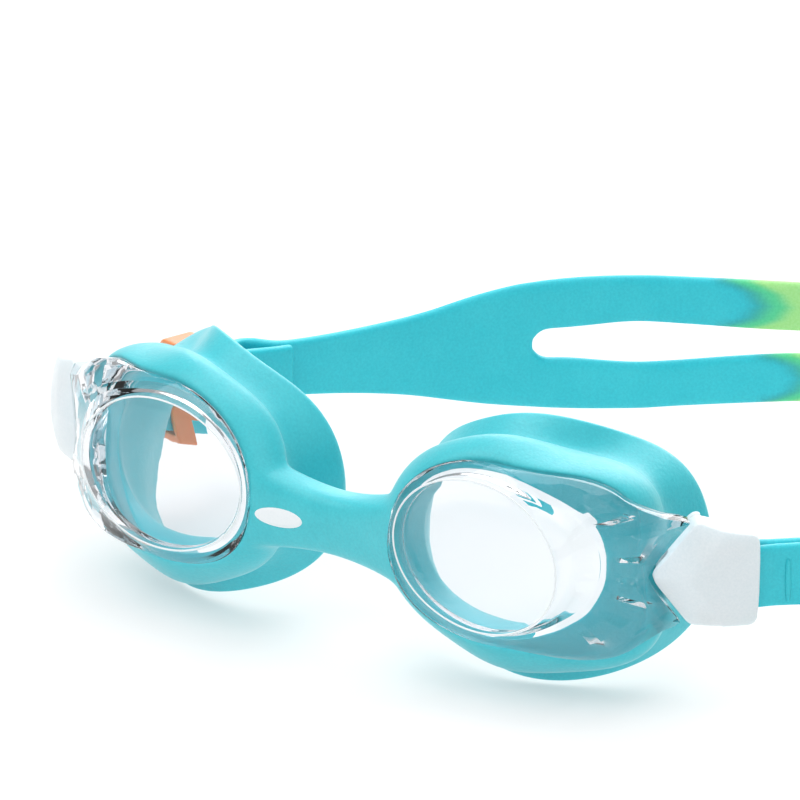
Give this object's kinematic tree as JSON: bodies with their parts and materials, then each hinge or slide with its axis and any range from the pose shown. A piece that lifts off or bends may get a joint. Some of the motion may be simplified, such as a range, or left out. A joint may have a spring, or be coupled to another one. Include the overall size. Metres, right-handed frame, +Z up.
{
  "type": "swim goggles",
  "caption": "Child-size swim goggles: silicone frame with nose bridge, clear bevelled lenses, snap clips, and a split silicone head strap with sliding keepers.",
  "frame": {"origin": "bottom centre of the bounding box, at the level of the lowest point of the eye cups", "axes": "+X to the wearer's left, +Y back from the flat lens fronts towards the head, +Z up"},
  "size_m": [0.1744, 0.1372, 0.0438],
  "materials": {
    "silicone_frame": "satin turquoise silicone",
    "silicone_strap": "satin turquoise silicone, light green round the back",
    "clear_lens": "clear polished polycarbonate",
    "white_clip": "satin white, slightly translucent",
    "orange_slider": "satin orange"
  },
  "bodies": {
    "goggles": {"frame": "silicone_frame", "lens_left": "clear_lens", "lens_right": "clear_lens", "clip_cover_left": "white_clip", "clip_cover_right": "white_clip", "clip_back_left": "white_clip", "clip_back_right": "white_clip", "strap_bar_left": "white_clip", "strap_bar_right": "white_clip"},
    "strap": {"strap": "silicone_strap"},
    "slider_left": {"slider_left": "orange_slider"},
    "slider_right": {"slider_right": "orange_slider"}
  },
  "joints": [
    {"name": "strap_swing", "type": "hinge", "parent": "goggles", "child": "strap", "pos_m": [-0.01662, -0.04676, 0.02157], "axis": [1, 0, 0], "range_deg": [-4, 4]},
    {"name": "slider_left_slide", "type": "slide", "parent": "strap", "child": "slider_left", "axis": [0.6561, 0.7547, 0], "range_m": [-0.007, 0.0035]},
    {"name": "slider_right_slide", "type": "slide", "parent": "strap", "child": "slider_right", "axis": [0.284, 0.9588, 0], "range_m": [-0.007, 0.0035]}
  ]
}
